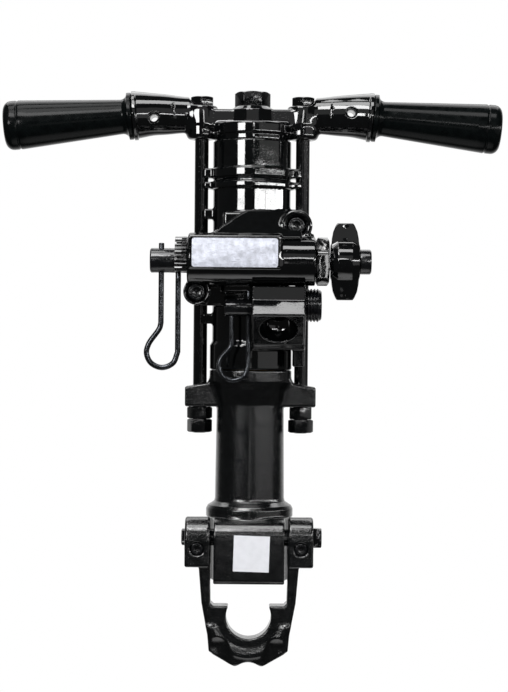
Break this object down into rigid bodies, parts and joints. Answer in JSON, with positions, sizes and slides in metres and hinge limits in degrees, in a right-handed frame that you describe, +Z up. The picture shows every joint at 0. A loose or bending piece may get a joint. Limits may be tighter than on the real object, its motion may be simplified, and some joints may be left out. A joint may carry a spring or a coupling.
{
  "type": "pneumatic rock drill",
  "caption": "Hand-held pneumatic rock drill with T-handle grips, throttle knob, side bolts and a hinged steel retainer yoke at the nose.",
  "frame": {"origin": "on the drill axis at the mouth of the nose, where the drill steel enters the chuck", "axes": "+Z up the drill axis towards the handle, -Y towards the side with the controls, +X towards the throttle knob"},
  "size_m": [0.498, 0.1298, 0.5661],
  "materials": {
    "painted_casting": "thick gloss black paint over a cast surface",
    "rough_casting": "satin black paint over a rough forged or cast surface",
    "painted_fastener": "gloss black paint over machined steel",
    "black_steel": "blackened machined steel",
    "grip_plastic": "smooth moulded black grip",
    "spring_wire": "dark bright spring wire",
    "plate_aluminium": "bare satin plate",
    "label_white": "blank white film",
    "machined_steel": "ground steel",
    "bronze": "machined bronze",
    "seal_rubber": "moulded rubber"
  },
  "bodies": {
    "root": {"backhead": "painted_casting", "grip_right": "grip_plastic", "grip_left": "grip_plastic", "grip_pin_right": "black_steel", "grip_pin_left": "black_steel", "water_tube_plug": "painted_fastener", "water_tube": "machined_steel", "water_tube_seal": "seal_rubber", "side_bolt_right": "painted_fastener", "nut_right": "painted_fastener", "locknut_right": "painted_fastener", "side_bolt_left": "painted_fastener", "nut_left": "painted_fastener", "locknut_left": "painted_fastener", "ratchet_housing": "painted_casting", "ratchet_ring": "machined_steel", "valve_chest": "machined_steel", "valve_guide": "machined_steel", "cylinder": "painted_casting", "air_nipple": "black_steel", "lower_socket": "black_steel", "control_block": "rough_casting", "cap_screw_upper": "black_steel", "cap_screw_lower": "black_steel", "name_plate": "plate_aluminium", "serrated_collar": "rough_casting", "port_socket": "black_steel", "gland_nut": "black_steel", "front_head": "rough_casting", "piston_guide": "bronze", "blank_label": "label_white"},
    "retainer": {"retainer_yoke": "rough_casting", "hinge_pin": "black_steel", "grub_screw_right": "black_steel", "grub_screw_left": "black_steel"},
    "throttle": {"throttle_spindle": "machined_steel", "throttle_knob": "rough_casting", "throttle_end_nut": "black_steel"},
    "upper_clip": {"clip_left": "spring_wire"},
    "lower_clip": {"clip_lower": "spring_wire"},
    "rotation_chuck": {"chuck": "machined_steel", "chuck_bushing": "bronze", "chuck_nut": "bronze"},
    "hammer_piston": {"piston": "machined_steel", "rifle_nut": "bronze"},
    "rifle": {"rifle_bar": "machined_steel", "pawl_1": "machined_steel", "pawl_2": "machined_steel", "pawl_3": "machined_steel", "pawl_4": "machined_steel"},
    "air_valve": {"valve": "bronze"}
  },
  "joints": [
    {"name": "retainer_swing", "type": "hinge", "parent": "root", "child": "retainer", "pos_m": [0, -0.036, 0.0445], "axis": [1, 0, 0], "range_deg": [-110, 0]},
    {"name": "throttle_turn", "type": "hinge", "parent": "root", "child": "throttle", "pos_m": [0, -0.06, 0.3145], "axis": [1, 0, 0], "range_deg": [0, 90]},
    {"name": "upper_clip_pull", "type": "slide", "parent": "root", "child": "upper_clip", "axis": [0, 0, -1], "range_m": [0, 0.034]},
    {"name": "lower_clip_pull", "type": "slide", "parent": "root", "child": "lower_clip", "axis": [0, 0, -1], "range_m": [0, 0.03]},
    {"name": "chuck_turn", "type": "hinge", "parent": "root", "child": "rotation_chuck", "pos_m": [0, 0, 0.06], "axis": [0, 0, 1], "continuous": true},
    {"name": "piston_stroke", "type": "slide", "parent": "rotation_chuck", "child": "hammer_piston", "axis": [0, 0, 1], "range_m": [0, 0.072]},
    {"name": "rifle_turn", "type": "hinge", "parent": "rotation_chuck", "child": "rifle", "pos_m": [0, 0, 0.4], "axis": [0, 0, 1], "range_deg": [-45, 0]},
    {"name": "valve_shift", "type": "slide", "parent": "root", "child": "air_valve", "axis": [0, 0, 1], "range_m": [0, 0.0024]}
  ],
  "couplings": [
    {"joint": "rifle_turn", "follows": "piston_stroke", "rad_per_m": -10.472}
  ]
}
